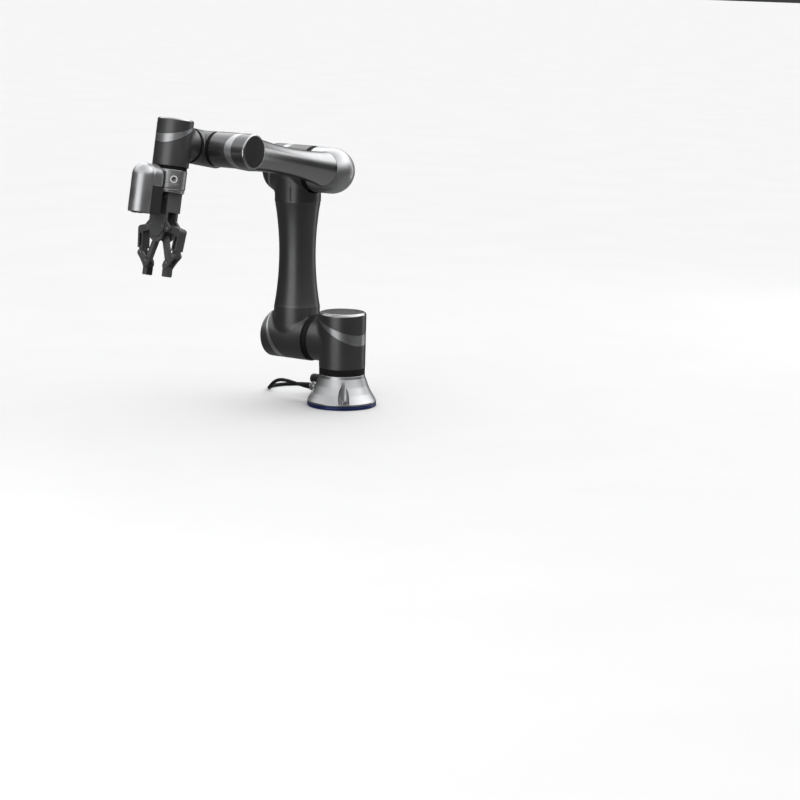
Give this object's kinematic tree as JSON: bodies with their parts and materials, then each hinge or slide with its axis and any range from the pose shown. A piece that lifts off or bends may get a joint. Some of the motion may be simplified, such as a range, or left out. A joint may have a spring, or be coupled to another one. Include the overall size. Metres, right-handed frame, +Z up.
{
  "type": "collaborative robot arm",
  "caption": "Table-top collaborative robot arm with round joint housings, waisted links, a wrist camera and a two-finger parallel gripper.",
  "frame": {"origin": "centre of the round mounting face under the base", "axes": "+Z up along the base axis, the arm reaches towards -Y, the shoulder, elbow and first wrist axes lie along X with the upper arm on the -X side"},
  "size_m": [0.373, 0.8234, 0.7408],
  "materials": {
    "dark_paint": "satin dark grey coat on cast aluminium",
    "bare_aluminium": "satin silver aluminium",
    "polished_grey": "glossy grey metallic",
    "blue_paint": "satin dark blue",
    "black_rubber": "matt",
    "steel": "brushed",
    "black_plastic": "fine moulded grain",
    "grey_anodised": "grey anodised",
    "lens_glass": "gloss dark window"
  },
  "bodies": {
    "root": {"base_plate": "blue_paint", "base_casting": "bare_aluminium", "base_screw_1": "steel", "base_screw_2": "steel", "base_screw_3": "steel", "base_screw_4": "steel", "base_seal": "black_rubber", "cable_gland": "bare_aluminium", "power_cable": "black_rubber", "cable_coil": "black_rubber", "cable_plug": "black_plastic"},
    "shoulder": {"shoulder_casting": "dark_paint", "shoulder_band": "bare_aluminium", "shoulder_cap": "dark_paint", "shoulder_drive": "steel", "shoulder_seal": "black_rubber"},
    "upper_arm": {"lower_joint_casting": "dark_paint", "lower_joint_band": "bare_aluminium", "lower_joint_cap": "dark_paint", "lower_joint_drive": "steel", "upper_arm_tube": "dark_paint", "upper_joint_casting": "dark_paint", "upper_joint_band": "bare_aluminium", "upper_joint_cap": "dark_paint", "upper_joint_drive": "steel", "elbow_seal": "black_rubber"},
    "forearm": {"elbow_casting": "bare_aluminium", "forearm_tube": "polished_grey", "wrist_1_casting": "dark_paint", "wrist_1_band": "bare_aluminium", "wrist_1_cap": "dark_paint", "wrist_1_drive": "steel", "wrist_1_seal": "black_rubber"},
    "wrist_2": {"wrist_2_casting": "dark_paint", "wrist_2_band": "bare_aluminium", "wrist_2_cap": "dark_paint", "wrist_2_drive": "steel", "wrist_2_seal": "black_rubber"},
    "wrist_3": {"wrist_3_casting": "dark_paint", "wrist_3_band": "bare_aluminium", "wrist_3_cap": "dark_paint", "wrist_3_drive": "steel", "wrist_3_seal": "black_rubber"},
    "tool": {"tool_flange": "bare_aluminium", "camera_bracket": "black_plastic", "camera_body": "black_plastic", "camera_shell": "bare_aluminium", "camera_window": "lens_glass", "gripper_coupling": "bare_aluminium", "gripper_body": "black_plastic", "gripper_cover": "grey_anodised"},
    "button": {"freedrive_button": "black_plastic"},
    "right_outer": {"right_outer_link": "grey_anodised"},
    "right_inner": {"right_inner_link": "grey_anodised"},
    "right_finger": {"right_finger": "grey_anodised", "right_pad": "black_rubber"},
    "left_outer": {"left_outer_link": "grey_anodised"},
    "left_inner": {"left_inner_link": "grey_anodised"},
    "left_finger": {"left_finger": "grey_anodised", "left_pad": "black_rubber"}
  },
  "joints": [
    {"name": "base_turn", "type": "hinge", "parent": "root", "child": "shoulder", "pos_m": [0, 0, 0.097], "axis": [0, 0, 1], "range_deg": [-175, 175]},
    {"name": "shoulder_pitch", "type": "hinge", "parent": "shoulder", "child": "upper_arm", "pos_m": [-0.09, 0, 0.1605], "axis": [1, 0, 0], "range_deg": [-100, 120]},
    {"name": "elbow_pitch", "type": "hinge", "parent": "upper_arm", "child": "forearm", "pos_m": [-0.0815, 0, 0.5855], "axis": [1, 0, 0], "range_deg": [-150, 65]},
    {"name": "wrist_1_pitch", "type": "hinge", "parent": "forearm", "child": "wrist_2", "pos_m": [-0.096, -0.38283, 0.65992], "axis": [1, 0, 0], "range_deg": [-175, 95]},
    {"name": "wrist_2_roll", "type": "hinge", "parent": "wrist_2", "child": "wrist_3", "pos_m": [-0.14, -0.42603, 0.66831], "axis": [0, -0.9816, 0.1908], "range_deg": [-175, 175]},
    {"name": "wrist_3_turn", "type": "hinge", "parent": "wrist_3", "child": "tool", "pos_m": [-0.14, -0.49727, 0.62409], "axis": [0, -0.1908, -0.9816], "range_deg": [-175, 175]},
    {"name": "freedrive_press", "type": "slide", "parent": "tool", "child": "button", "axis": [-0.8387, 0.5346, -0.1039], "range_m": [0, 0.0015], "stiffness_N_per_m": 800, "springref_m": -0.0005},
    {"name": "grip", "type": "hinge", "parent": "tool", "child": "right_outer", "pos_m": [-0.11, -0.52513, 0.48078], "axis": [0, -0.9816, 0.1908], "range_deg": [-18.5, 25]},
    {"name": "right_inner_pivot", "type": "hinge", "parent": "tool", "child": "right_inner", "pos_m": [-0.128, -0.52876, 0.46213], "axis": [0, -0.9816, 0.1908], "range_deg": [-18.5, 25]},
    {"name": "right_finger_pivot", "type": "hinge", "parent": "right_outer", "child": "right_finger", "pos_m": [-0.09, -0.53696, 0.41991], "axis": [0, -0.9816, 0.1908], "range_deg": [-25, 18.5]},
    {"name": "left_outer_pivot", "type": "hinge", "parent": "tool", "child": "left_outer", "pos_m": [-0.17, -0.52513, 0.48078], "axis": [0, -0.9816, 0.1908], "range_deg": [-25, 18.5]},
    {"name": "left_inner_pivot", "type": "hinge", "parent": "tool", "child": "left_inner", "pos_m": [-0.152, -0.52876, 0.46213], "axis": [0, -0.9816, 0.1908], "range_deg": [-25, 18.5]},
    {"name": "left_finger_pivot", "type": "hinge", "parent": "left_outer", "child": "left_finger", "pos_m": [-0.19, -0.53696, 0.41991], "axis": [0, -0.9816, 0.1908], "range_deg": [-18.5, 25]}
  ],
  "couplings": [
    {"joint": "right_inner_pivot", "follows": "grip", "ratio": 1},
    {"joint": "right_finger_pivot", "follows": "grip", "ratio": -1},
    {"joint": "left_outer_pivot", "follows": "grip", "ratio": -1},
    {"joint": "left_inner_pivot", "follows": "grip", "ratio": -1},
    {"joint": "left_finger_pivot", "follows": "grip", "ratio": 1}
  ]
}
